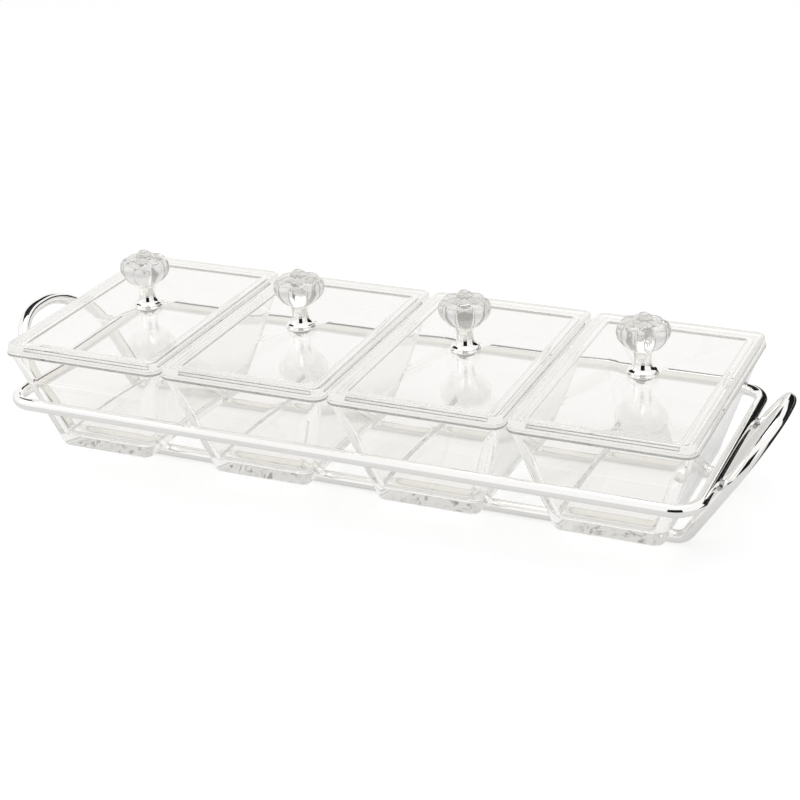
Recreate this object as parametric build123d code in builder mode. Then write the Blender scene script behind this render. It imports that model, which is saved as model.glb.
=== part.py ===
from build123d import *
import math
import os

os.makedirs("parts", exist_ok=True)

# Four lidded glass dishes standing in a chromed wire caddy.
# Millimetres. X runs along the row of dishes, Z is up. The origin is the middle of the
# caddy on the table that its two lower rails stand on.

# Caddy wire
wire_diameter = 8.0
weld_gap = 0.2
weld_diameter = 7.0

# Glass dishes
dish_count = 4
dish_gap = 1.0
dish_height = 72.0
rim_length = 113.0
rim_width = 178.5
rim_height = 3.0
rim_overhang = 2.0
rim_corner = 8.0
rim_edge = 1.2
foot_length = 67.0
foot_width = 138.0
foot_corner = 6.0
foot_edge = 2.5
wall_thickness = 4.2
base_thickness = 8.0
floor_edge = 5.0
seat_gap = 0.25

# Upper ring and lower frame of the caddy
ring_height = 44.5
ring_end_gap = 7.2
ring_side_gap = 4.4
ring_corner = 16.0
rail_spacing = 88.0
rail_overrun = 7.0
rail_bend = 10.0
handle_height = 76.0
handle_corner = 41.0

# Lids
lid_gap = 0.2
lid_inset = 1.0
lid_thickness = 4.8
lid_edge = 1.8
lid_lip_width = 4.0
lid_lip_depth = 3.0
lid_lip_gap = 0.8
lid_hole_gap = 1.0

# Knobs, from the screw head under the lid up to the button on top
screw_diameter = 4.0
screw_gap = 0.2
screw_head_diameter = 8.0
screw_head_height = 2.6
screw_head_edge = 0.9
screw_recess_length = 4.4
screw_recess_width = 1.1
screw_recess_depth = 1.4
under_washer_diameter = 12.0
under_washer_height = 1.0
top_washer_inset = 0.6
top_washer_height = 0.4
pedestal_diameter = 19.4
pedestal_step_diameter = 18.0
pedestal_foot_height = 1.4
pedestal_step_height = 1.4
pedestal_stem_diameter = 10.4
pedestal_flare = 1.6
pedestal_cup_diameter = 12.6
pedestal_cup_height = 1.4
pedestal_cup_flare = 0.5
pedestal_height = 16.6
insert_diameter = 6.4
insert_length = 9.0
insert_gap = 0.05
thread_gap = 0.05
knob_diameter = 32.6
knob_body_height = 18.4
knob_lobes = 8
knob_groove_depth = 1.8
knob_seat_diameter = 15.0
knob_waist_diameter = 27.0
knob_waist_height = 3.8
knob_belly_height = 9.0
knob_shoulder_diameter = 32.0
knob_shoulder_height = 13.6
knob_crown_diameter = 27.0
knob_crown_height = 16.6
knob_neck_diameter = 10.0
button_diameter = 10.8
button_height = 3.8
button_girdle = 1.6
button_table_diameter = 5.4
button_sides = 8

# Levels, worked out from the sizes above
wire_radius = wire_diameter / 2
foot_level = wire_diameter + seat_gap
floor_level = foot_level + base_thickness
rim_top = foot_level + dish_height
rim_level = rim_top - rim_height
lid_level = rim_top + lid_gap
lid_top = lid_level + lid_thickness
pedestal_level = lid_top + top_washer_height
knob_level = pedestal_level + pedestal_height
button_level = knob_level + knob_body_height
button_top = button_level + button_height

# The dish's wall leans out from the foot to just inside the rim
wall_rise = rim_level - foot_level
wall_top_length = rim_length - 2 * rim_overhang
wall_top_width = rim_width - 2 * rim_overhang
length_slope = (wall_top_length - foot_length) / wall_rise
width_slope = (wall_top_width - foot_width) / wall_rise


def wall_length(level):
    """Outer length of the dish's wall at a level."""
    return foot_length + length_slope * (level - foot_level)


def wall_width(level):
    """Outer width of the dish's wall at a level."""
    return foot_width + width_slope * (level - foot_level)


def inner_length(level):
    """Inner length of the dish's hollow at a level."""
    return wall_length(level) - 2 * wall_thickness


def inner_width(level):
    """Inner width of the dish's hollow at a level."""
    return wall_width(level) - 2 * wall_thickness


inner_corner = rim_corner - rim_overhang

# The row of dishes, and the ring that runs round their walls
dish_pitch = rim_length + dish_gap
dish_places = [(index - (dish_count - 1) / 2) * dish_pitch for index in range(dish_count)]
row_end = dish_places[-1]
ring_top = ring_height + wire_radius
ring_half_length = row_end + wall_length(ring_top) / 2 + ring_end_gap + wire_radius
ring_half_width = wall_width(ring_top) / 2 + ring_side_gap + wire_radius

# The handles' legs rise from the ends of the rails and pass the ring at the weld gap,
# so their lean follows from where the rails end and where the ring's ends are
rail_end = row_end + foot_length / 2 + rail_overrun
rail_half_spacing = rail_spacing / 2
weld_offset = wire_diameter + weld_gap
leg_rise = ring_height - wire_radius
leg_run = ring_half_length - rail_end
lean = math.atan2(leg_run, leg_rise) + math.asin(weld_offset / math.hypot(leg_run, leg_rise))
handle_rise = handle_height - wire_radius
handle_end = rail_end + handle_rise * math.tan(lean)


def seat(x, level):
    """Plane at a level, centred on the dish that stands at x."""
    return Plane(origin=(x, 0, level))


# Caddy ring: one wire bent to a rounded rectangle and closed on itself. Half of it is
# swept from the middle of the front rail to the middle of the back rail.
with BuildPart() as caddy_ring:
    with BuildLine():
        FilletPolyline(
            (0, -ring_half_width, ring_height),
            (ring_half_length, -ring_half_width, ring_height),
            (ring_half_length, ring_half_width, ring_height),
            (0, ring_half_width, ring_height),
            radius=ring_corner,
        )
    with BuildSketch(Plane(origin=(0, -ring_half_width, ring_height), z_dir=(1, 0, 0))):
        Circle(wire_radius)
    sweep()
    mirror(about=Plane.YZ)
caddy_ring.part.label = "caddy_ring"
export_step(caddy_ring.part, "parts/caddy_ring.step")

# Lower frame: one closed wire. Two rails carry the dishes' feet, and at each end the
# wire leans out past the ring and comes round in an arch, which is the handle.
with BuildPart() as lower_frame:
    with BuildLine():
        FilletPolyline(
            (0, -rail_half_spacing, wire_radius),
            (rail_end, -rail_half_spacing, wire_radius),
            (handle_end, -rail_half_spacing, handle_height),
            (handle_end, rail_half_spacing, handle_height),
            (rail_end, rail_half_spacing, wire_radius),
            (0, rail_half_spacing, wire_radius),
            radius=[rail_bend, handle_corner, handle_corner, rail_bend],
        )
    with BuildSketch(Plane(origin=(0, -rail_half_spacing, wire_radius), z_dir=(1, 0, 0))):
        Circle(wire_radius)
    sweep()
    mirror(about=Plane.YZ)
lower_frame.part.label = "lower_frame"
export_step(lower_frame.part, "parts/lower_frame.step")

# Brazed joints: a short plug of filler between each leg and the end of the ring, hollowed
# on both sides by the two wires that it joins
weld_axis = Vector(math.cos(lean), 0, -math.sin(lean))
weld_middle = Vector(ring_half_length, 0, ring_height) + weld_axis * (weld_offset / 2)
with BuildPart() as ring_welds:
    for side in (-1, 1):
        start = weld_middle - weld_axis * wire_radius + Vector(0, side * rail_half_spacing, 0)
        with BuildSketch(Plane(origin=start, z_dir=weld_axis)):
            Circle(weld_diameter / 2)
        extrude(amount=wire_diameter)
    mirror(about=Plane.YZ)
    add(caddy_ring.part, mode=Mode.SUBTRACT)
    add(lower_frame.part, mode=Mode.SUBTRACT)
ring_welds.part.label = "ring_welds"
export_step(ring_welds.part, "parts/ring_welds.step")


def make_dish(x):
    """Pressed-glass dish: a tapered box on a thick foot, with a narrow flange round its mouth."""
    with BuildPart() as dish:
        with BuildSketch(seat(x, foot_level)):
            RectangleRounded(foot_length, foot_width, foot_corner)
        with BuildSketch(seat(x, rim_level)):
            RectangleRounded(wall_top_length, wall_top_width, inner_corner)
        loft()
        with BuildSketch(seat(x, rim_level)):
            RectangleRounded(rim_length, rim_width, rim_corner)
        extrude(amount=rim_height)
        fillet(dish.edges().group_by(Axis.Z)[0], foot_edge)
        fillet(dish.faces().sort_by(Axis.Z)[-1].edges(), rim_edge)
        # The hollow follows the wall, and its floor is the top of the thick base
        with BuildSketch(seat(x, floor_level)):
            RectangleRounded(inner_length(floor_level), inner_width(floor_level), inner_corner)
        with BuildSketch(seat(x, rim_top)):
            RectangleRounded(inner_length(rim_top), inner_width(rim_top), inner_corner)
        loft(mode=Mode.SUBTRACT)
        floor = dish.faces().filter_by(Axis.Z).group_by(Axis.Z)[1]
        fillet(floor.edges(), floor_edge)
    return dish.part


def make_lid(x):
    """Glass lid: a flat plate with a locating lip underneath and a hole for the knob's screw."""
    lip_level = lid_level - lid_lip_depth
    lip_length = inner_length(lip_level) - 2 * lid_lip_gap
    lip_width = inner_width(lip_level) - 2 * lid_lip_gap
    lip_corner = inner_corner - lid_lip_gap
    plate_length = rim_length - 2 * lid_inset
    plate_width = rim_width - 2 * lid_inset
    with BuildPart() as lid:
        with BuildSketch(seat(x, lid_level)):
            RectangleRounded(plate_length, plate_width, rim_corner - lid_inset)
        extrude(amount=lid_thickness)
        fillet(lid.faces().sort_by(Axis.Z)[-1].edges(), lid_edge)
        with BuildSketch(seat(x, lid_level)):
            RectangleRounded(lip_length, lip_width, lip_corner)
            RectangleRounded(
                lip_length - 2 * lid_lip_width,
                lip_width - 2 * lid_lip_width,
                lip_corner - lid_lip_width,
                mode=Mode.SUBTRACT,
            )
        extrude(amount=-lid_lip_depth)
        with Locations((x, 0, lid_top)):
            Hole(screw_diameter / 2 + lid_hole_gap)
    return lid.part


def make_washer(x, level, diameter, height):
    """Soft washer with a running hole for the screw."""
    with BuildPart() as washer:
        with BuildSketch(seat(x, level)):
            Circle(diameter / 2)
            Circle(screw_diameter / 2 + screw_gap, mode=Mode.SUBTRACT)
        extrude(amount=height)
    return washer.part


def make_under_washer(x):
    """Soft washer between the screw's head and the underside of the lid."""
    return make_washer(x, lid_level - under_washer_height, under_washer_diameter, under_washer_height)


def make_top_washer(x):
    """Soft washer between the top of the lid and the pedestal's foot."""
    return make_washer(x, lid_top, pedestal_diameter - 2 * top_washer_inset, top_washer_height)


def make_screw(x):
    """Pan head machine screw from under the lid up into the knob's insert."""
    head_top = lid_level - under_washer_height
    head_level = head_top - screw_head_height
    shank_top = knob_level + insert_length - insert_gap
    with BuildPart() as screw:
        with BuildSketch(seat(x, head_level)):
            Circle(screw_head_diameter / 2)
        extrude(amount=screw_head_height)
        fillet(screw.edges().group_by(Axis.Z)[0], screw_head_edge)
        with BuildSketch(seat(x, head_level)):
            SlotOverall(screw_recess_length, screw_recess_width)
            SlotOverall(screw_recess_length, screw_recess_width, rotation=90)
        extrude(amount=screw_recess_depth, mode=Mode.SUBTRACT)
        with BuildSketch(seat(x, head_top)):
            Circle(screw_diameter / 2)
        extrude(amount=shank_top - head_top)
    return screw.part


def make_pedestal(x):
    """Chrome pedestal: a stepped round foot, a waisted stem and a cup under the crystal."""
    bore = screw_diameter / 2 + screw_gap
    foot = pedestal_diameter / 2
    step = pedestal_step_diameter / 2
    stem = pedestal_stem_diameter / 2
    cup = pedestal_cup_diameter / 2
    step_top = pedestal_foot_height + pedestal_step_height
    cup_level = pedestal_height - pedestal_cup_height
    waist = (step_top + cup_level) / 2
    with BuildPart() as pedestal:
        with BuildSketch(Plane.XZ.shift_origin((x, 0, pedestal_level))):
            with BuildLine():
                Polyline(
                    (bore, 0),
                    (foot, 0),
                    (foot, pedestal_foot_height),
                    (step, pedestal_foot_height),
                    (step, step_top),
                )
                SagittaArc((step, step_top), (stem, waist), -pedestal_flare)
                SagittaArc((stem, waist), (cup, cup_level), -pedestal_cup_flare)
                Polyline(
                    (cup, cup_level),
                    (cup, pedestal_height),
                    (bore, pedestal_height),
                    (bore, 0),
                )
            make_face()
        revolve(axis=Axis((x, 0, 0), (0, 0, 1)))
    return pedestal.part


def make_insert(x):
    """Threaded insert, set in the blind hole under the crystal."""
    with BuildPart() as insert:
        with BuildSketch(seat(x, knob_level)):
            Circle(insert_diameter / 2)
            Circle(screw_diameter / 2 + thread_gap, mode=Mode.SUBTRACT)
        extrude(amount=insert_length)
    return insert.part


def make_knob(x):
    """Cut crystal knob: a lobed melon, with a faceted button on top."""
    sections = [
        (knob_seat_diameter, 0),
        (knob_waist_diameter, knob_waist_height),
        (knob_diameter, knob_belly_height),
        (knob_shoulder_diameter, knob_shoulder_height),
        (knob_crown_diameter, knob_crown_height),
        (knob_neck_diameter, knob_body_height),
    ]
    lobe_turn = 360 / knob_lobes
    with BuildPart() as knob:
        # Every section is a ring of equal arcs, with a groove between each two lobes
        for diameter, height in sections:
            crest = Vector(diameter / 2, 0)
            groove = crest * (1 - 2 * knob_groove_depth / knob_diameter)
            with BuildSketch(seat(x, knob_level + height)):
                with BuildLine():
                    for index in range(knob_lobes):
                        ThreePointArc(
                            groove.rotate(Axis.Z, index * lobe_turn),
                            crest.rotate(Axis.Z, (index + 0.5) * lobe_turn),
                            groove.rotate(Axis.Z, (index + 1) * lobe_turn),
                        )
                make_face()
        loft()
        # The button's lower facets widen to its girdle and its upper ones close to a table
        with BuildSketch(seat(x, button_level)):
            RegularPolygon(knob_neck_diameter / 2, button_sides)
        with BuildSketch(seat(x, button_level + button_girdle)):
            RegularPolygon(button_diameter / 2, button_sides)
        loft()
        with BuildSketch(seat(x, button_level + button_girdle)):
            RegularPolygon(button_diameter / 2, button_sides)
        with BuildSketch(seat(x, button_top)):
            RegularPolygon(button_table_diameter / 2, button_sides)
        loft()
        with BuildSketch(seat(x, knob_level)):
            Circle(insert_diameter / 2 + insert_gap)
        extrude(amount=insert_length + insert_gap, mode=Mode.SUBTRACT)
    return knob.part


# One of each piece for every dish in the row
makers = {
    "dish": make_dish,
    "lid": make_lid,
    "lid_under_washer": make_under_washer,
    "lid_top_washer": make_top_washer,
    "lid_screw": make_screw,
    "knob_pedestal": make_pedestal,
    "knob_insert": make_insert,
    "crystal_knob": make_knob,
}
for number, place in enumerate(dish_places, start=1):
    for name, maker in makers.items():
        piece = maker(place)
        piece.label = f"{name}_{number}"
        export_step(piece, f"parts/{piece.label}.step")
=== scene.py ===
import math

import bmesh
import bpy
from mathutils import Matrix, Vector


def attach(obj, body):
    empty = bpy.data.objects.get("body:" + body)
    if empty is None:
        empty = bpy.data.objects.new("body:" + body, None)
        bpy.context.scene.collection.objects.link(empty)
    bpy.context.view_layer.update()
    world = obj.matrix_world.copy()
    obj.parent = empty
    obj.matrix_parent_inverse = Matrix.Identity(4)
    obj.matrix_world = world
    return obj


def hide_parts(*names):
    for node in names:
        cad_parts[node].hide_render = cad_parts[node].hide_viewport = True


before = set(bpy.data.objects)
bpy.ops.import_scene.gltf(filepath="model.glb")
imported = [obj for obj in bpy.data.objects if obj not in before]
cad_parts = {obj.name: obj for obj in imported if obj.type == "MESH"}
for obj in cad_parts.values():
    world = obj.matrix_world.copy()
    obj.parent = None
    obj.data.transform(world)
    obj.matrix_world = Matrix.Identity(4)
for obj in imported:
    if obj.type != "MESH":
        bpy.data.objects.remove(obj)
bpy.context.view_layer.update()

mm = 0.001


# Caddy wire: 8 mm steel rod, bent cold and chromed after brazing. One closed rod is the
# ring round the dishes. The other carries their feet on two rails and rises at each end
# into an arched handle.
wire_radius = 4.0 * mm
ring_half_length = 227.95 * mm
ring_half_width = 88.034 * mm
ring_height = 44.5 * mm
ring_corner = 16.0 * mm
rail_end = 211.5 * mm
rail_half_spacing = 44.0 * mm
rail_bend = 10.0 * mm
handle_end = 258.108 * mm
handle_height = 76.0 * mm
handle_corner = 41.0 * mm


def new_group(name, kind):
    """An empty node group of a kind, with the two nodes that carry its sockets."""
    group = bpy.data.node_groups.new(name, kind)
    return group, group.nodes.new("NodeGroupInput"), group.nodes.new("NodeGroupOutput")


def make_wear_group():
    """Fine wear of a polished surface: cloudy wiping marks and hairlines."""
    group, inside, outside = new_group("polish_wear", "ShaderNodeTree")
    for name, default in (("Size", 60.0), ("Low", 0.05), ("High", 0.12), ("Depth", 0.02)):
        socket = group.interface.new_socket(name, in_out="INPUT", socket_type="NodeSocketFloat")
        socket.default_value = default
    group.interface.new_socket("Roughness", in_out="OUTPUT", socket_type="NodeSocketFloat")
    group.interface.new_socket("Normal", in_out="OUTPUT", socket_type="NodeSocketVector")
    nodes, links = group.nodes, group.links
    place = nodes.new("ShaderNodeTexCoord")
    cloud = nodes.new("ShaderNodeTexNoise")
    cloud.inputs["Detail"].default_value = 4.0
    links.new(place.outputs["Object"], cloud.inputs["Vector"])
    links.new(inside.outputs["Size"], cloud.inputs["Scale"])
    stretch = nodes.new("ShaderNodeMapping")
    stretch.inputs["Scale"].default_value = (0.15, 1.0, 1.0)
    links.new(place.outputs["Object"], stretch.inputs["Vector"])
    hair = nodes.new("ShaderNodeTexNoise")
    hair.inputs["Scale"].default_value = 900.0
    links.new(stretch.outputs["Vector"], hair.inputs["Vector"])
    level = nodes.new("ShaderNodeMapRange")
    links.new(cloud.outputs["Fac"], level.inputs["Value"])
    level.inputs["From Min"].default_value = 0.35
    level.inputs["From Max"].default_value = 0.65
    links.new(inside.outputs["Low"], level.inputs["To Min"])
    links.new(inside.outputs["High"], level.inputs["To Max"])
    links.new(level.outputs["Result"], outside.inputs["Roughness"])
    bump = nodes.new("ShaderNodeBump")
    bump.inputs["Distance"].default_value = 0.0002
    links.new(inside.outputs["Depth"], bump.inputs["Strength"])
    links.new(hair.outputs["Fac"], bump.inputs["Height"])
    links.new(bump.outputs["Normal"], outside.inputs["Normal"])
    return group


polish_wear = make_wear_group()


def new_material(name):
    """A node material with its Principled shader, and the two node lists it is wired with."""
    material = bpy.data.materials.new(name)
    material.use_nodes = True
    shader = material.node_tree.nodes["Principled BSDF"]
    return material, shader, material.node_tree.nodes, material.node_tree.links


def make_worn(name, colour, metallic, size, low, high, depth):
    """A material of one colour, with the polish wear as its roughness and normal."""
    material, shader, nodes, links = new_material(name)
    shader.inputs["Base Color"].default_value = (*colour, 1.0)
    shader.inputs["Metallic"].default_value = metallic
    wear = nodes.new("ShaderNodeGroup")
    wear.node_tree = polish_wear
    for socket, value in (("Size", size), ("Low", low), ("High", high), ("Depth", depth)):
        wear.inputs[socket].default_value = value
    links.new(wear.outputs["Roughness"], shader.inputs["Roughness"])
    links.new(wear.outputs["Normal"], shader.inputs["Normal"])
    return material


def make_chrome(name, colour, low, high):
    """Bright chrome plate, a little cloudier where it has been handled and wiped."""
    return make_worn(name, colour, 1.0, 60.0, low, high, 0.02)


chrome_wire = make_chrome("chrome_wire", (0.95, 0.943, 0.925), 0.04, 0.1)


def make_wire_tree(material):
    """Geometry nodes: rounds the corners of a path and runs a round rod along it."""
    group, inside, outside = new_group("bent_rod", "GeometryNodeTree")
    group.interface.new_socket("Path", in_out="INPUT", socket_type="NodeSocketGeometry")
    for name, kind in (("Rod Radius", "Float"), ("Bend Steps", "Int"), ("Rod Sides", "Int")):
        group.interface.new_socket(name, in_out="INPUT", socket_type="NodeSocket" + kind)
    group.interface.new_socket("Rod", in_out="OUTPUT", socket_type="NodeSocketGeometry")
    nodes, links = group.nodes, group.links
    bend = nodes.new("GeometryNodeInputNamedAttribute")
    bend.data_type = "FLOAT"
    bend.inputs["Name"].default_value = "bend"
    path = nodes.new("GeometryNodeMeshToCurve")
    fillet = nodes.new("GeometryNodeFilletCurve")
    fillet.mode = "POLY"
    profile = nodes.new("GeometryNodeCurvePrimitiveCircle")
    rod = nodes.new("GeometryNodeCurveToMesh")
    real = nodes.new("GeometryNodeRealizeInstances")
    smooth = nodes.new("GeometryNodeSetShadeSmooth")
    finish = nodes.new("GeometryNodeSetMaterial")
    finish.inputs["Material"].default_value = material
    links.new(inside.outputs["Path"], path.inputs["Mesh"])
    links.new(path.outputs["Curve"], fillet.inputs["Curve"])
    links.new(bend.outputs["Attribute"], fillet.inputs["Radius"])
    links.new(inside.outputs["Bend Steps"], fillet.inputs["Count"])
    links.new(inside.outputs["Rod Radius"], profile.inputs["Radius"])
    links.new(inside.outputs["Rod Sides"], profile.inputs["Resolution"])
    links.new(fillet.outputs["Curve"], rod.inputs["Curve"])
    links.new(profile.outputs["Curve"], rod.inputs["Profile Curve"])
    links.new(rod.outputs["Mesh"], real.inputs["Geometry"])
    links.new(real.outputs["Geometry"], smooth.inputs["Geometry"])
    links.new(smooth.outputs["Geometry"], finish.inputs["Geometry"])
    links.new(finish.outputs["Geometry"], outside.inputs["Rod"])
    return group


bent_rod = make_wire_tree(chrome_wire)


def bake(piece):
    """Turns a piece's modifiers into a plain mesh."""
    shaped = piece.evaluated_get(bpy.context.evaluated_depsgraph_get())
    mesh = bpy.data.meshes.new_from_object(shaped)
    piece.modifiers.clear()
    piece.data = mesh
    piece.data.name = piece.name


def make_wire(name, corners):
    """A closed rod through corner points, each given with the radius of its bend."""
    mesh = bpy.data.meshes.new(name)
    points = [place for place, radius in corners]
    edges = [(index, (index + 1) % len(points)) for index in range(len(points))]
    mesh.from_pydata(points, edges, [])
    bend = mesh.attributes.new("bend", "FLOAT", "POINT")
    bend.data.foreach_set("value", [radius for place, radius in corners])
    piece = bpy.data.objects.new(name, mesh)
    bpy.context.collection.objects.link(piece)
    rod = piece.modifiers.new("rod", "NODES")
    rod.node_group = bent_rod
    sizes = {"Rod Radius": wire_radius, "Bend Steps": 20, "Rod Sides": 40}
    for item in bent_rod.interface.items_tree:
        if item.name in sizes:
            rod[item.identifier] = sizes[item.name]
    bake(piece)
    return piece


ring_sides = [(1, -1), (1, 1), (-1, 1), (-1, -1)]
ring = make_wire("ring_rod", [
    ((x * ring_half_length, y * ring_half_width, ring_height), ring_corner)
    for x, y in ring_sides
])
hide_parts("caddy_ring")
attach(ring, "caddy")

frame_corners = []
for end in (1, -1):
    frame_corners += [
        ((end * rail_end, -end * rail_half_spacing, wire_radius), rail_bend),
        ((end * handle_end, -end * rail_half_spacing, handle_height), handle_corner),
        ((end * handle_end, end * rail_half_spacing, handle_height), handle_corner),
        ((end * rail_end, end * rail_half_spacing, wire_radius), rail_bend),
    ]
rails = make_wire("rail_and_handle_rod", frame_corners)
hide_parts("lower_frame")
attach(rails, "caddy")


# Brazed joints: where each of the four legs passes the ring, a small fillet of brazing
# filler holds the two rods together. It is plated over with them and stays a little dull.
braze = make_chrome("braze", (0.5, 0.5, 0.5), 0.18, 0.32)
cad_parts["ring_welds"].data.materials.clear()
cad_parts["ring_welds"].data.materials.append(braze)


# Dishes: pressed clear glass, tapered all round, on a thick flat foot. The mouth has a
# narrow flange with fire-polished edges, and the floor meets the walls in a wide curve.
dish_places = [-171.0 * mm, -57.0 * mm, 57.0 * mm, 171.0 * mm]
foot_level = 8.25 * mm
floor_level = 16.25 * mm
rim_level = 77.25 * mm
rim_top = 80.25 * mm
foot_size = (67.0 * mm, 138.0 * mm)
wall_top_size = (109.0 * mm, 174.5 * mm)
rim_size = (113.0 * mm, 178.5 * mm)
wall_thickness = 4.2 * mm
wall_corner = 6.0 * mm
rim_corner = 8.0 * mm
foot_edge = 2.5 * mm
floor_edge = 5.0 * mm
rim_edge = 1.2 * mm
rim_under_edge = 0.6 * mm
outer_wall_level = 46 * mm
inner_wall_levels = (60 * mm, 38 * mm)
corner_steps = 8
least_corner = 0.3 * mm


def make_edge_group():
    """A mask of the upright faces between two heights, where the glass is painted with a dark
    edge shade.
    """
    group, inside, outside = new_group("upright_faces", "ShaderNodeTree")
    for name in ("Bottom", "Top"):
        group.interface.new_socket(name, in_out="INPUT", socket_type="NodeSocketFloat")
    group.interface.new_socket("Mask", in_out="OUTPUT", socket_type="NodeSocketFloat")
    nodes, links = group.nodes, group.links

    def calculate(operation, first, second):
        node = nodes.new("ShaderNodeMath")
        node.operation = operation
        for socket, value in zip(node.inputs, (first, second)):
            if isinstance(value, float):
                socket.default_value = value
            else:
                links.new(value, socket)
        return node.outputs["Value"]

    place = nodes.new("ShaderNodeTexCoord")
    point = nodes.new("ShaderNodeSeparateXYZ")
    links.new(place.outputs["Object"], point.inputs["Vector"])
    normal = nodes.new("ShaderNodeSeparateXYZ")
    links.new(place.outputs["Normal"], normal.inputs["Vector"])
    slant = nodes.new("ShaderNodeMapRange")
    links.new(calculate("ABSOLUTE", normal.outputs["Z"], 0.0), slant.inputs["Value"])
    # Fully upright below the second value, and not at all above the first
    slant.inputs["From Min"].default_value = 0.24
    slant.inputs["From Max"].default_value = 0.08
    above = calculate("GREATER_THAN", point.outputs["Z"], inside.outputs["Bottom"])
    below = calculate("LESS_THAN", point.outputs["Z"], inside.outputs["Top"])
    band = calculate("MULTIPLY", above, below)
    links.new(calculate("MULTIPLY", band, slant.outputs["Result"]), outside.inputs["Mask"])
    return group


upright_faces = make_edge_group()


def make_glass(name, colour, edge_shade_colour, edge, ior, wave, painted_glow_colour):
    """Clear glass with the faint waviness that the press or the wheel leaves.

    The edge gives the heights between which upright faces take the edge shade colour, a painted
    dark shade along the glass's edges, and the wave its noise scale and its depth. Rays that
    cross many faces end in a painted glow of the glow colour.
    """
    material, shader, nodes, links = new_material(name)
    wave_scale, wave_depth = wave
    upright = nodes.new("ShaderNodeGroup")
    upright.node_tree = upright_faces
    upright.inputs["Bottom"].default_value, upright.inputs["Top"].default_value = edge
    # Upright faces in the band are painted with a dark shade colour, standing in for the dark
    # lines along the glass's edges
    tone = nodes.new("ShaderNodeMix")
    tone.data_type = "RGBA"
    sockets = [socket for socket in tone.inputs if socket.type == "RGBA"]
    sockets[0].default_value = (*colour, 1.0)
    sockets[1].default_value = (*edge_shade_colour, 1.0)
    links.new(upright.outputs["Mask"], tone.inputs[0])
    toned = [socket for socket in tone.outputs if socket.type == "RGBA"][0]
    links.new(toned, shader.inputs["Base Color"])
    shader.inputs["Metallic"].default_value = 0.0
    shader.inputs["Transmission Weight"].default_value = 1.0
    shader.inputs["IOR"].default_value = ior
    place = nodes.new("ShaderNodeTexCoord")
    cloud = nodes.new("ShaderNodeTexNoise")
    cloud.inputs["Scale"].default_value = wave_scale
    cloud.inputs["Detail"].default_value = 1.5
    links.new(place.outputs["Object"], cloud.inputs["Vector"])
    bump = nodes.new("ShaderNodeBump")
    bump.inputs["Strength"].default_value = 1.0
    bump.inputs["Distance"].default_value = wave_depth
    links.new(cloud.outputs["Fac"], bump.inputs["Height"])
    links.new(bump.outputs["Normal"], shader.inputs["Normal"])
    level = nodes.new("ShaderNodeMapRange")
    links.new(cloud.outputs["Fac"], level.inputs["Value"])
    level.inputs["To Max"].default_value = 0.015
    links.new(level.outputs["Result"], shader.inputs["Roughness"])
    # Light passes through the glass to what lies under it
    light = nodes.new("ShaderNodeLightPath")
    clear = nodes.new("ShaderNodeBsdfTransparent")
    clear.inputs["Color"].default_value = (0.93, 0.93, 0.925, 1.0)
    mix = nodes.new("ShaderNodeMixShader")
    links.new(light.outputs["Is Shadow Ray"], mix.inputs["Fac"])
    links.new(shader.outputs["BSDF"], mix.inputs[1])
    links.new(clear.outputs["BSDF"], mix.inputs[2])
    # What has crossed many faces ends in a painted glow, a pale grey standing in for the light
    # that would come through the glass. Each mirror image on the way counts as two faces more
    most_faces = 9.5
    turns = nodes.new("ShaderNodeMath")
    turns.operation = "MULTIPLY_ADD"
    turns.inputs[1].default_value = 2.0
    links.new(light.outputs["Glossy Depth"], turns.inputs[0])
    links.new(light.outputs["Ray Depth"], turns.inputs[2])
    deep = nodes.new("ShaderNodeMath")
    deep.operation = "GREATER_THAN"
    deep.inputs[1].default_value = most_faces
    links.new(turns.outputs["Value"], deep.inputs[0])
    depth = nodes.new("ShaderNodeEmission")
    depth.inputs["Color"].default_value = (*painted_glow_colour, 1.0)
    point = nodes.new("ShaderNodeSeparateXYZ")
    links.new(place.outputs["Object"], point.inputs["Vector"])
    # Near the table that painted glow is darker and mottled, a painted shade round the foot
    height = nodes.new("ShaderNodeMapRange")
    links.new(point.outputs["Z"], height.inputs["Value"])
    height.inputs["From Min"].default_value = 15 * mm
    height.inputs["From Max"].default_value = 70 * mm
    mottle = nodes.new("ShaderNodeTexNoise")
    mottle.inputs["Scale"].default_value = 170.0
    mottle.inputs["Detail"].default_value = 3.0
    links.new(place.outputs["Object"], mottle.inputs["Vector"])
    foot_painted_shade = nodes.new("ShaderNodeMapRange")
    links.new(mottle.outputs["Fac"], foot_painted_shade.inputs["Value"])
    foot_painted_shade.inputs["From Min"].default_value = 0.36
    foot_painted_shade.inputs["From Max"].default_value = 0.46
    foot_painted_shade.inputs["To Min"].default_value = 0.36
    foot_painted_shade.inputs["To Max"].default_value = 0.8
    links.new(foot_painted_shade.outputs["Result"], height.inputs["To Min"])
    links.new(height.outputs["Result"], depth.inputs["Strength"])
    rest = nodes.new("ShaderNodeMixShader")
    links.new(deep.outputs["Value"], rest.inputs["Fac"])
    links.new(mix.outputs["Shader"], rest.inputs[1])
    links.new(depth.outputs["Emission"], rest.inputs[2])
    links.new(rest.outputs["Shader"], nodes["Material Output"].inputs["Surface"])
    return material


# Dish and lid glass: upright faces round the rim and the lid's lip take a painted dark shade, and
# deep rays a pale painted glow
clear_glass = make_glass(
    "clear_glass", (0.99, 0.985, 0.974), (0.22, 0.215, 0.205), (76.0 * mm, 80.35 * mm),
    1.5, (30.0, 0.00002), (0.88, 0.87, 0.845),
)


def rounded_loop(size, inset, corner, height):
    """Points round a rectangle with rounded corners, inset from its full size."""
    radius = max(corner - inset, least_corner)
    reach = [side / 2 - inset - radius for side in size]
    points = []
    for quarter, (x, y) in enumerate([(1, 1), (-1, 1), (-1, -1), (1, -1)]):
        middle = Vector((x * reach[0], y * reach[1], height))
        for step in range(corner_steps + 1):
            turn = math.pi / 2 * (quarter + step / corner_steps)
            points.append(middle + radius * Vector((math.cos(turn), math.sin(turn), 0)))
    return points


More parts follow.
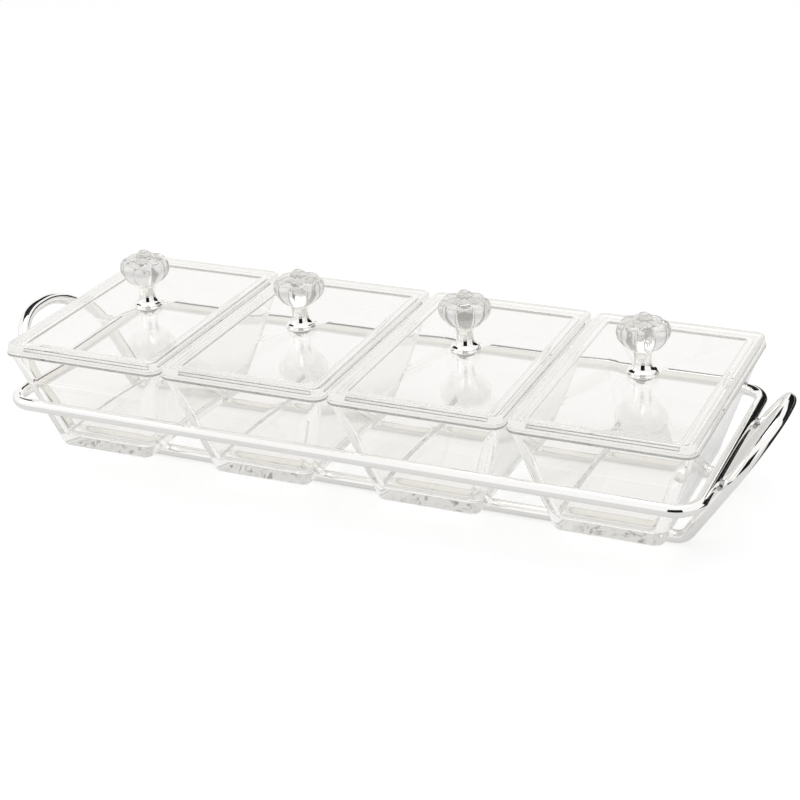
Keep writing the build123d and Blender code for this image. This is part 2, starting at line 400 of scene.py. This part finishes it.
def skin(name, loops, closed, material, x):
    """A smooth skin over loops of as many points each, capped at its ends or closed on itself."""
    work = bmesh.new()
    rows = [[work.verts.new(point + Vector((x, 0, 0))) for point in loop] for loop in loops]
    count = len(rows[0])
    pairs = list(zip(rows, rows[1:]))
    if closed:
        pairs.append((rows[-1], rows[0]))
    else:
        work.faces.new(list(reversed(rows[0])))
        work.faces.new(rows[-1])
    for lower, upper in pairs:
        for index in range(count):
            after = (index + 1) % count
            work.faces.new((lower[index], lower[after], upper[after], upper[index]))
    bmesh.ops.recalc_face_normals(work, faces=work.faces)
    for face in work.faces:
        face.smooth = True
    mesh = bpy.data.meshes.new(name)
    work.to_mesh(mesh)
    work.free()
    mesh.materials.append(material)
    piece = bpy.data.objects.new(name, mesh)
    bpy.context.collection.objects.link(piece)
    shade = piece.modifiers.new("even_shading", "WEIGHTED_NORMAL")
    shade.weight = 100
    shade.keep_sharp = True
    bake(piece)
    return piece


def wall_size(level):
    """Outer length and width of the dish's leaning wall at a level."""
    part = (level - foot_level) / (rim_level - foot_level)
    return tuple(foot + part * (top - foot) for foot, top in zip(foot_size, wall_top_size))


def arc(radius, start, stop, steps):
    """Pairs of run and rise along an arc about a centre, between two angles in degrees."""
    for step in range(steps + 1):
        turn = math.radians(start + (stop - start) * step / steps)
        yield radius * math.cos(turn), radius * math.sin(turn)


def edge_loops(size, corner, inset, level, bow):
    """Loops along the arc of an edge, whose centre lies at an inset and a level."""
    return [rounded_loop(size, inset - run, corner, level + rise) for run, rise in bow]


wall_lean = 15.9
foot_touch = foot_edge * math.tan(math.radians(90 - wall_lean) / 2)
floor_touch = floor_edge * math.tan(math.radians(90 - wall_lean) / 2)


def dish_loops():
    """Loops from under the foot, up the outside, over the rim and down to the floor."""
    inner_corner = wall_corner + wall_thickness
    loops = edge_loops(
        foot_size, wall_corner, foot_touch, foot_level + foot_edge,
        arc(foot_edge, -90, -wall_lean, 5),
    )
    loops.append(rounded_loop(wall_size(outer_wall_level), 0, wall_corner, outer_wall_level))
    loops.append(rounded_loop(wall_top_size, 0, wall_corner, rim_level))
    loops += edge_loops(
        rim_size, rim_corner, rim_under_edge, rim_level + rim_under_edge,
        arc(rim_under_edge, -90, 0, 3),
    )
    loops += edge_loops(
        rim_size, rim_corner, rim_edge, rim_top - rim_edge, arc(rim_edge, 0, 90, 5)
    )
    loops += edge_loops(
        wall_size(rim_top), wall_corner, wall_thickness - rim_edge, rim_top - rim_edge,
        arc(rim_edge, 90, 180, 5),
    )
    for height in inner_wall_levels:
        loops.append(rounded_loop(wall_size(height), wall_thickness, inner_corner, height))
    loops += edge_loops(
        wall_size(floor_level), inner_corner, wall_thickness + floor_touch,
        floor_level + floor_edge, arc(floor_edge, -wall_lean, -90, 6),
    )
    return loops


for number, x in enumerate(dish_places, start=1):
    dish = skin(f"dish_glass_{number}", dish_loops(), False, clear_glass, x)
    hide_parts(f"dish_{number}")
    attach(dish, f"dish_{number}")


# Lids: flat plates of the same glass with softened edges. A low lip underneath drops
# inside the dish's mouth and keeps the lid in place, and the knob's screw passes a hole
# in the middle.
lid_level = 80.45 * mm
lid_top = 85.25 * mm
lip_level = 77.45 * mm
lid_size = (111.0 * mm, 176.5 * mm)
lid_corner = 7.0 * mm
lid_edge = 1.8 * mm
lid_under_edge = 0.6 * mm
lip_size = (99.1218 * mm, 164.6116 * mm)
lip_corner = 5.2 * mm
lip_inner_corner = 1.4 * mm
lip_width = 4.0 * mm
lip_edge = 1.5 * mm
lip_root = 0.8 * mm
lid_hole_radius = 3.0 * mm


def round_loop(radius, height):
    """Points round a circle, as many as round a rounded rectangle."""
    count = 4 * (corner_steps + 1)
    turns = [math.tau * (index + 0.5) / count for index in range(count)]
    return [Vector((radius * math.cos(turn), radius * math.sin(turn), height)) for turn in turns]


def lid_loops():
    """Loops from the hole, out under the lid, round lip and edge, and back over the top."""
    inner_size = tuple(side - 2 * lip_width for side in lip_size)
    root_level = lid_level - lip_root
    edge_level = lip_level + lip_edge
    loops = [round_loop(lid_hole_radius, lid_level)]
    for size, corner, inset, level, bow in (
        (inner_size, lip_inner_corner, lip_root, root_level, arc(lip_root, 90, 0, 3)),
        (inner_size, lip_inner_corner, -lip_edge, edge_level, arc(lip_edge, 180, 270, 5)),
        (lip_size, lip_corner, lip_edge, edge_level, arc(lip_edge, -90, 0, 5)),
        (lip_size, lip_corner, -lip_root, root_level, arc(lip_root, 180, 90, 3)),
        (
            lid_size, lid_corner, lid_under_edge, lid_level + lid_under_edge,
            arc(lid_under_edge, -90, 0, 3),
        ),
        (lid_size, lid_corner, lid_edge, lid_top - lid_edge, arc(lid_edge, 0, 90, 6)),
    ):
        loops += edge_loops(size, corner, inset, level, bow)
    loops.append(round_loop(lid_hole_radius, lid_top))
    return loops


for number, x in enumerate(dish_places, start=1):
    lid = skin(f"lid_glass_{number}", lid_loops(), True, clear_glass, x)
    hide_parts(f"lid_{number}")
    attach(lid, f"lid_{number}")


# Knob fixings: a stainless screw comes up through each lid between two soft washers, and
# turns into a nickel-plated insert set in the crystal.
soft_washer = make_worn("soft_washer", (0.86, 0.86, 0.84), 0.0, 400.0, 0.35, 0.55, 0.1)
screw_steel = make_worn("screw_steel", (0.66, 0.66, 0.67), 1.0, 500.0, 0.2, 0.35, 0.08)
insert_metal = make_worn("insert_metal", (0.72, 0.71, 0.69), 1.0, 500.0, 0.25, 0.4, 0.08)

for number in range(1, len(dish_places) + 1):
    for name, material in (
        ("lid_under_washer", soft_washer),
        ("lid_top_washer", soft_washer),
        ("lid_screw", screw_steel),
        ("knob_insert", insert_metal),
    ):
        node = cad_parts[f"{name}_{number}"]
        node.data.materials.clear()
        node.data.materials.append(material)


# Knob pedestals: turned brass under bright chrome. A stepped round foot stands on the
# lid, and the waisted stem opens into a small cup that carries the crystal.
pedestal_level = 85.65 * mm
pedestal_steps = 48
pedestal_profile = [
    (2.2, 0.0), (9.3, 0.0), (9.6, 0.15), (9.7, 0.45), (9.7, 1.0), (9.55, 1.3), (9.2, 1.4),
    (8.7, 1.45), (8.65, 1.6), (8.95, 1.75), (9.0, 2.0), (9.0, 2.45), (8.85, 2.7), (8.5, 2.85),
    (7.7, 3.15), (6.95, 3.65), (6.35, 4.45), (5.9, 5.45), (5.55, 6.65), (5.32, 7.8),
    (5.22, 9.0), (5.2, 10.1), (5.25, 11.3), (5.4, 12.6), (5.65, 13.8), (5.95, 14.75),
    (6.2, 15.2), (6.3, 15.5), (6.3, 16.4), (6.15, 16.6), (2.2, 16.6),
]
chrome_turned = make_chrome("chrome_turned", (0.93, 0.92, 0.9), 0.02, 0.06)


def turned_loops(profile, level, steps):
    """Loops of a turned piece from its profile of radius and height in millimetres."""
    turns = [math.tau * index / steps for index in range(steps)]
    for radius, height in profile:
        reach, place = radius * mm, level + height * mm
        yield [Vector((reach * math.cos(turn), reach * math.sin(turn), place)) for turn in turns]


for number, x in enumerate(dish_places, start=1):
    loops = list(turned_loops(pedestal_profile, pedestal_level, pedestal_steps))
    pedestal = skin(f"pedestal_{number}", loops, True, chrome_turned, x)
    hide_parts(f"knob_pedestal_{number}")
    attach(pedestal, f"lid_{number}")


# Crystal knobs: a melon of eight cut lobes, ground to a flat seat on the pedestal, with a
# small faceted button polished on top.
knob_level = 102.25 * mm
knob_lobes = 8
knob_lobe_steps = 10
knob_groove_share = 1 - 1.8 / 16.3
knob_bore = [(3.25, 9.05), (3.25, 0.0)]
knob_profile = [
    (7.5, 0.0), (8.9, 0.45), (10.4, 1.15), (12.0, 2.3), (13.5, 3.8), (14.9, 5.6), (15.9, 7.4),
    (16.3, 9.0), (16.4, 10.4), (16.3, 12.0), (16.0, 13.6), (15.3, 15.0), (14.5, 15.9),
    (13.5, 16.6), (12.0, 17.15), (9.6, 17.75), (7.4, 18.15), (5.0, 18.4),
]
button_profile = [(5.0, 18.45), (5.4, 20.0), (2.7, 22.2)]
knob_body_top = knob_level + 18.4 * mm
# The crystal's upright lobe faces take a painted grey shade, and its deep rays a darker painted
# glow
crystal = make_glass(
    "crystal", (0.85, 0.84, 0.825), (0.66, 0.65, 0.63), (110.0 * mm, 118.0 * mm),
    1.54, (120.0, 0.000015), (0.5, 0.49, 0.475),
)


def sided_loop(reach_at, height):
    """Points round the knob, given their reach by the turn from the middle of a side."""
    half = math.pi / knob_lobes
    points = []
    for side in range(knob_lobes):
        for step in range(knob_lobe_steps):
            turn = half * (2 * step / knob_lobe_steps - 1)
            reach = reach_at(turn)
            turn += (2 * side + 1) * half
            points.append(Vector((reach * math.cos(turn), reach * math.sin(turn), height)))
    return points


def lobed_loop(radius, height):
    """Points round a ring of equal arcs, one for each lobe."""
    half = math.pi / knob_lobes
    crest, groove = radius, radius * knob_groove_share
    middle = (crest ** 2 - groove ** 2) / (2 * (crest - groove * math.cos(half)))
    bow = crest - middle
    return sided_loop(
        lambda turn: middle * math.cos(turn)
        + math.sqrt(bow ** 2 - (middle * math.sin(turn)) ** 2),
        height,
    )


def facet_loop(radius, height):
    """As many points as round the lobes, along the sides of an octagon."""
    half = math.pi / knob_lobes
    return sided_loop(lambda turn: radius * math.cos(half) / math.cos(turn), height)


for number, x in enumerate(dish_places, start=1):
    rows = list(turned_loops(knob_bore, knob_level, knob_lobes * knob_lobe_steps))
    for make_loop, profile in ((lobed_loop, knob_profile), (facet_loop, button_profile)):
        rows += [make_loop(radius * mm, knob_level + height * mm) for radius, height in profile]
    knob = skin(f"crystal_{number}", rows, False, crystal, x)
    sharp = knob.data.attributes.new("sharp_face", "BOOLEAN", "FACE")
    above = [face.center.z > knob_body_top for face in knob.data.polygons]
    sharp.data.foreach_set("value", above)
    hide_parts(f"crystal_knob_{number}")
    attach(knob, f"lid_{number}")


# Staging: a white floor and surround, soft light from above, and dark cards beyond the
# ends of the caddy that draw the edges of glass and chrome.
scene = bpy.context.scene
scene.view_settings.view_transform = "Standard"


def white_for_eyes(nodes, links, lit, mirrored, through, seen):
    """A strength with its own value for light, mirrors, the view through glass and the eye."""
    path = nodes.new("ShaderNodeLightPath")
    value = None
    for ray, strength in (
        ("Is Glossy Ray", mirrored), ("Is Transmission Ray", through), ("Is Camera Ray", seen)
    ):
        level = nodes.new("ShaderNodeMapRange")
        links.new(path.outputs[ray], level.inputs["Value"])
        if value is None:
            level.inputs["To Min"].default_value = lit
        else:
            links.new(value, level.inputs["To Min"])
        level.inputs["To Max"].default_value = strength
        value = level.outputs["Result"]
    return value


world = bpy.data.worlds.new("surround")
scene.world = world
world.use_nodes = True
nodes, links = world.node_tree.nodes, world.node_tree.links
sky = nodes["Background"]
sky.inputs["Color"].default_value = (1.0, 1.0, 1.0, 1.0)
white = white_for_eyes(nodes, links, lit=0.6, mirrored=1.0, through=0.92, seen=1.0)
links.new(white, sky.inputs["Strength"])

floor_mesh = bpy.data.meshes.new("floor")
floor_mesh.from_pydata([(-4, -4, 0), (4, -4, 0), (4, 4, 0), (-4, 4, 0)], [], [(0, 1, 2, 3)])
floor = bpy.data.objects.new("floor", floor_mesh)
scene.collection.objects.link(floor)
floor_white, floor_shader, nodes, links = new_material("floor_white")
floor_shader.inputs["Base Color"].default_value = (0.5, 0.5, 0.5, 1.0)
floor_shader.inputs["Roughness"].default_value = 0.9
floor_shader.inputs["Specular IOR Level"].default_value = 0.0
floor_shader.inputs["Emission Color"].default_value = (1.0, 1.0, 1.0, 1.0)
white = white_for_eyes(nodes, links, lit=0.0, mirrored=0.36, through=0.58, seen=0.66)
links.new(white, floor_shader.inputs["Emission Strength"])
floor_mesh.materials.append(floor_white)


def aim(item, place, target):
    """Puts a lamp or card in its place, turned to a point."""
    item.location = place
    item.rotation_euler = (Vector(target) - Vector(place)).to_track_quat("-Z", "Y").to_euler()
    scene.collection.objects.link(item)


def add_lamp(name, place, target, size, power):
    """A soft rectangular lamp turned to a point."""
    data = bpy.data.lights.new(name, "AREA")
    data.shape = "RECTANGLE"
    data.size, data.size_y = size
    data.energy = power
    aim(bpy.data.objects.new(name, data), place, target)


add_lamp("overhead_lamp", (0.1, 0.2, 1.4), (0, 0, 0), (1.2, 0.8), 4.0)
add_lamp("left_lamp", (-1.2, -0.6, 0.9), (0, 0, 0.05), (0.6, 0.9), 2.5)


def add_card(name, place, target, size, tone):
    """A dark or grey card, seen only as a mirror image in glass and chrome."""
    paper, shader = new_material(name)[:2]
    shader.inputs["Base Color"].default_value = (tone, tone, tone, 1.0)
    shader.inputs["Roughness"].default_value = 1.0
    shader.inputs["Specular IOR Level"].default_value = 0.0
    mesh = bpy.data.meshes.new(name)
    x, y = size[0] / 2, size[1] / 2
    mesh.from_pydata([(-x, -y, 0), (x, -y, 0), (x, y, 0), (-x, y, 0)], [], [(0, 1, 2, 3)])
    mesh.materials.append(paper)
    card = bpy.data.objects.new(name, mesh)
    aim(card, place, target)
    card.visible_camera = False
    card.visible_diffuse = False
    card.visible_transmission = False
    card.visible_shadow = False


add_card("front_right_card", (0.62, -1.4, 0.62), (0, 0, 0.62), (1.25, 1.2), 0.02)
add_card("back_high_card", (-0.48, 0.64, 1.02), (0, 0, 0.05), (1.3, 0.85), 0.05)
add_card("back_right_card", (0.75, 1.2, 0.33), (0, 0, 0.33), (1.8, 0.9), 0.02)
add_card("right_low_card", (0.7, 0.42, 0.003), (0.7, 0.42, 1.0), (0.85, 0.85), 0.03)

# Camera: where the photo was taken from, by its turn and height about a point low in the
# middle of the caddy
azimuth = math.radians(24.13)
elevation = math.radians(24.60)
roll = math.radians(-1.99)
ahead = Vector((
    -math.sin(azimuth) * math.cos(elevation),
    math.cos(azimuth) * math.cos(elevation),
    -math.sin(elevation),
))
level_right = Vector((math.cos(azimuth), math.sin(azimuth), 0.0))
level_up = level_right.cross(ahead)
right = level_right * math.cos(roll) + level_up * math.sin(roll)
up = level_up * math.cos(roll) - level_right * math.sin(roll)
camera_data = bpy.data.cameras.new("camera")
camera_data.sensor_width = 36.0
camera_data.lens = 81.18
camera_data.clip_end = 20.0
camera = bpy.data.objects.new("camera", camera_data)
camera.matrix_world = Matrix((
    (right.x, up.x, -ahead.x, 0.0),
    (right.y, up.y, -ahead.y, 0.0),
    (right.z, up.z, -ahead.z, 0.0),
    (0.0, 0.0, 0.0, 1.0),
))
camera_target = Vector((1.22, 22.3, 32.48)) * mm
camera_distance = 1.18574
camera.location = camera_target - ahead * camera_distance
scene.collection.objects.link(camera)
scene.camera = camera
